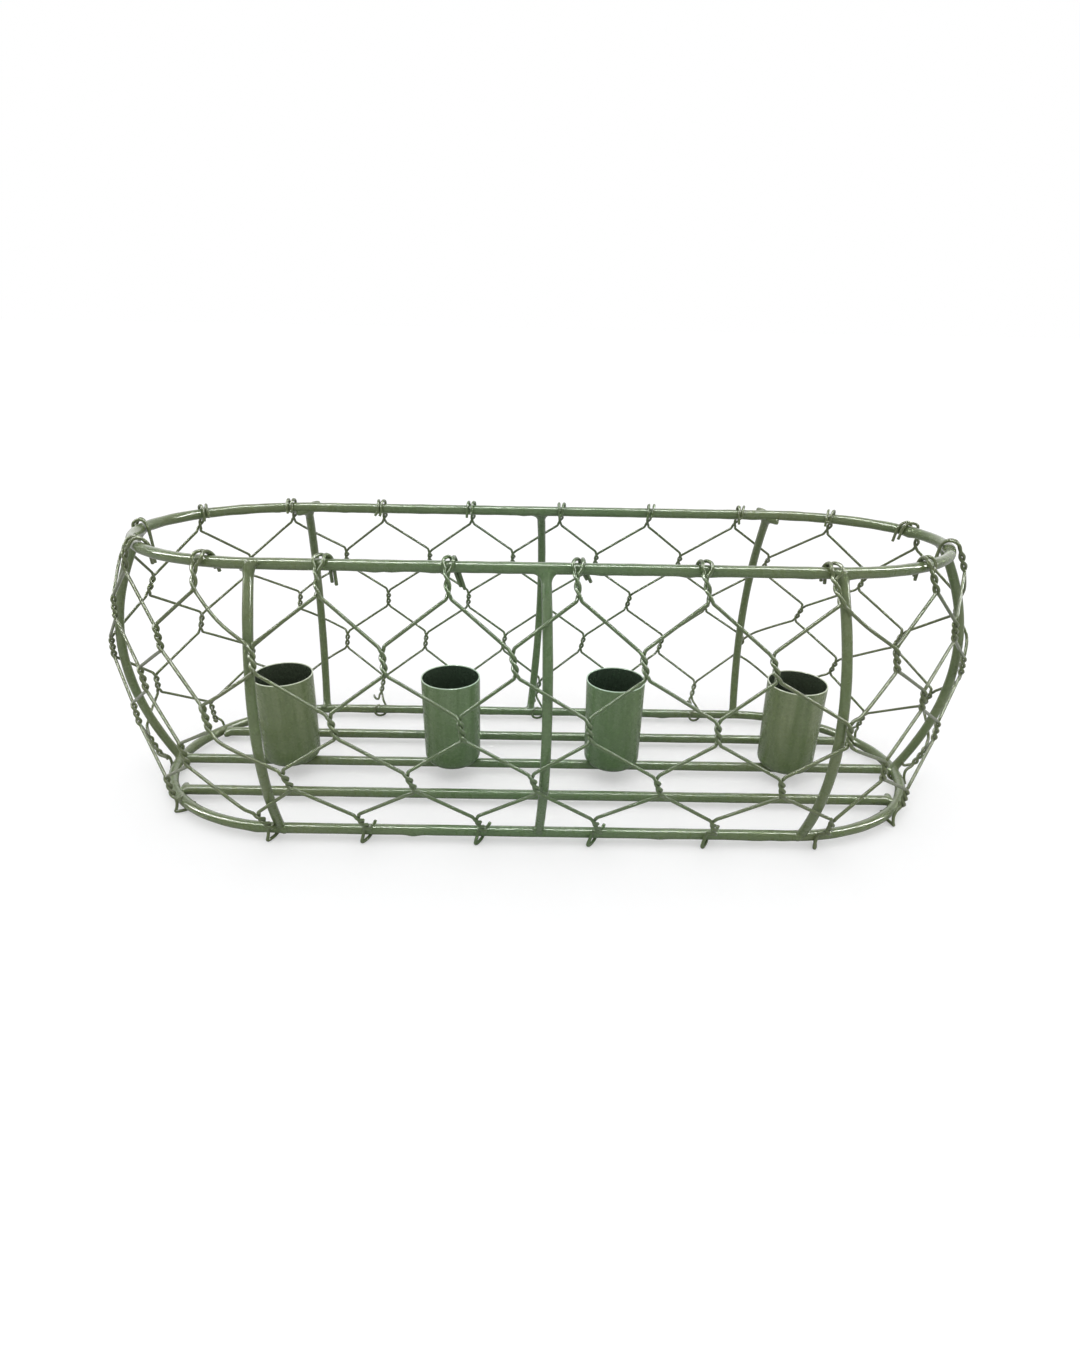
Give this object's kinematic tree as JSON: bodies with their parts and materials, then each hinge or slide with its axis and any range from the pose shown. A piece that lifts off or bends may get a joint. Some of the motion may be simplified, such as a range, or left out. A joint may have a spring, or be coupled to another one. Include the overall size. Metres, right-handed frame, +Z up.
{
  "type": "wreath frame",
  "caption": "Oblong wreath frame for candles: welded rod cage with bowed ribs, base bars and deep candle cups, wrapped in twisted hexagonal wire netting hooked over both rings.",
  "frame": {"origin": "under the middle of the cage, at the level of the wire hooks that it stands on", "axes": "+X along the cage and its row of cups, +Y across it towards the back, +Z up"},
  "size_m": [0.3657, 0.1398, 0.1137],
  "materials": {
    "painted_rod": "semi-gloss green powder coat on steel rod",
    "painted_cup": "semi-gloss green powder coat on thin drawn sheet, darker inside",
    "painted_net": "semi-gloss green powder coat on galvanised wire"
  },
  "bodies": {
    "root": {"top_ring": "painted_rod", "bottom_ring": "painted_rod", "rib_front_left": "painted_rod", "rib_front_middle": "painted_rod", "rib_front_right": "painted_rod", "rib_back_left": "painted_rod", "rib_back_middle": "painted_rod", "rib_back_right": "painted_rod", "rib_right_end": "painted_rod", "rib_left_end": "painted_rod", "base_bar_front": "painted_rod", "base_bar_middle": "painted_rod", "base_bar_back": "painted_rod", "candle_cup_1": "painted_cup", "candle_cup_2": "painted_cup", "candle_cup_3": "painted_cup", "candle_cup_4": "painted_cup", "net_right_01": "painted_net", "net_right_02": "painted_net", "net_right_03": "painted_net", "net_right_04": "painted_net", "net_right_05": "painted_net", "net_right_06": "painted_net", "net_right_07": "painted_net", "net_right_08": "painted_net", "net_right_09": "painted_net", "net_right_10": "painted_net", "net_right_11": "painted_net", "net_right_12": "painted_net", "net_right_13": "painted_net", "net_right_14": "painted_net", "net_right_15": "painted_net", "net_right_16": "painted_net", "net_right_17": "painted_net", "net_right_18": "painted_net", "net_right_19": "painted_net", "net_left_01": "painted_net", "net_left_02": "painted_net", "net_left_03": "painted_net", "net_left_04": "painted_net", "net_left_05": "painted_net", "net_left_06": "painted_net", "net_left_07": "painted_net", "net_left_08": "painted_net", "net_left_09": "painted_net", "net_left_10": "painted_net", "net_left_11": "painted_net", "net_left_12": "painted_net", "net_left_13": "painted_net", "net_left_14": "painted_net", "net_left_15": "painted_net", "net_left_16": "painted_net", "net_left_17": "painted_net", "net_left_18": "painted_net", "net_left_19": "painted_net"}
  },
  "joints": []
}
